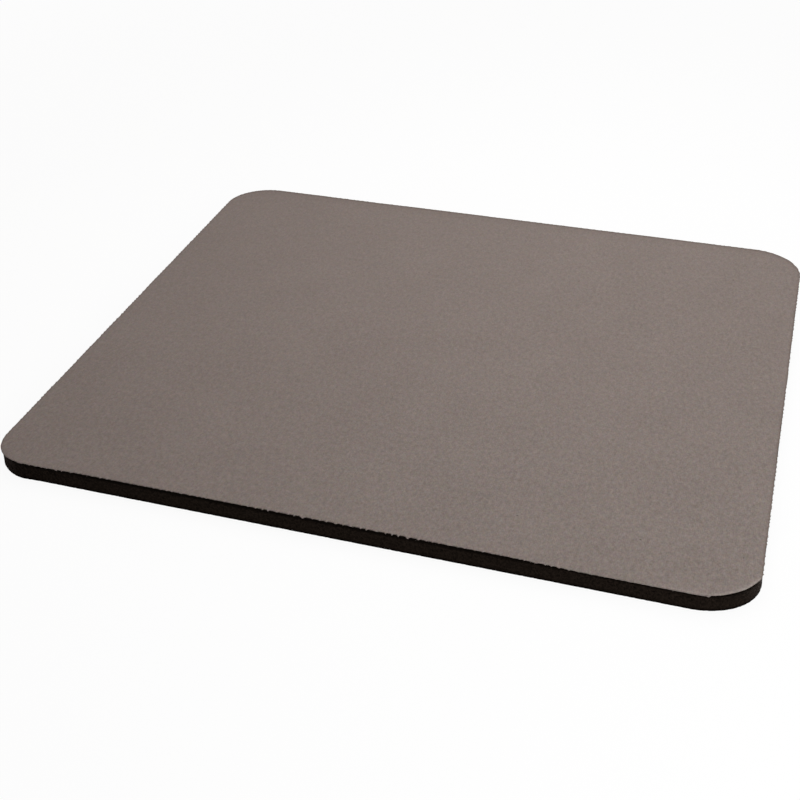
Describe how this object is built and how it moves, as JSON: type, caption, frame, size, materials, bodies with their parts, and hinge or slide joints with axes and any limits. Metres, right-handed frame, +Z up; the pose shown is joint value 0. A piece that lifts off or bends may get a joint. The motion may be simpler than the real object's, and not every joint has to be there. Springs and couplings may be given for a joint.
{
  "type": "mouse pad",
  "caption": "Flat rectangular mouse pad with rounded corners: a taupe cloth working surface bonded by a glue film to a black rubber sponge base that grips the desk.",
  "frame": {"origin": "middle of the underside, on the desk", "axes": "+X along the long side, to the user's right; +Y away from the user; +Z up, out of the cloth"},
  "size_m": [0.248, 0.22, 0.0065],
  "materials": {
    "sponge": "matt black open-cell rubber sponge, die-cut side, embossed underside",
    "adhesive": "clear hot-melt glue film, dark over the black sponge",
    "cloth": "matt taupe fine-knit polyester"
  },
  "bodies": {
    "root": {"sponge_base": "sponge", "adhesive_film": "adhesive", "cloth_top": "cloth"}
  },
  "joints": []
}
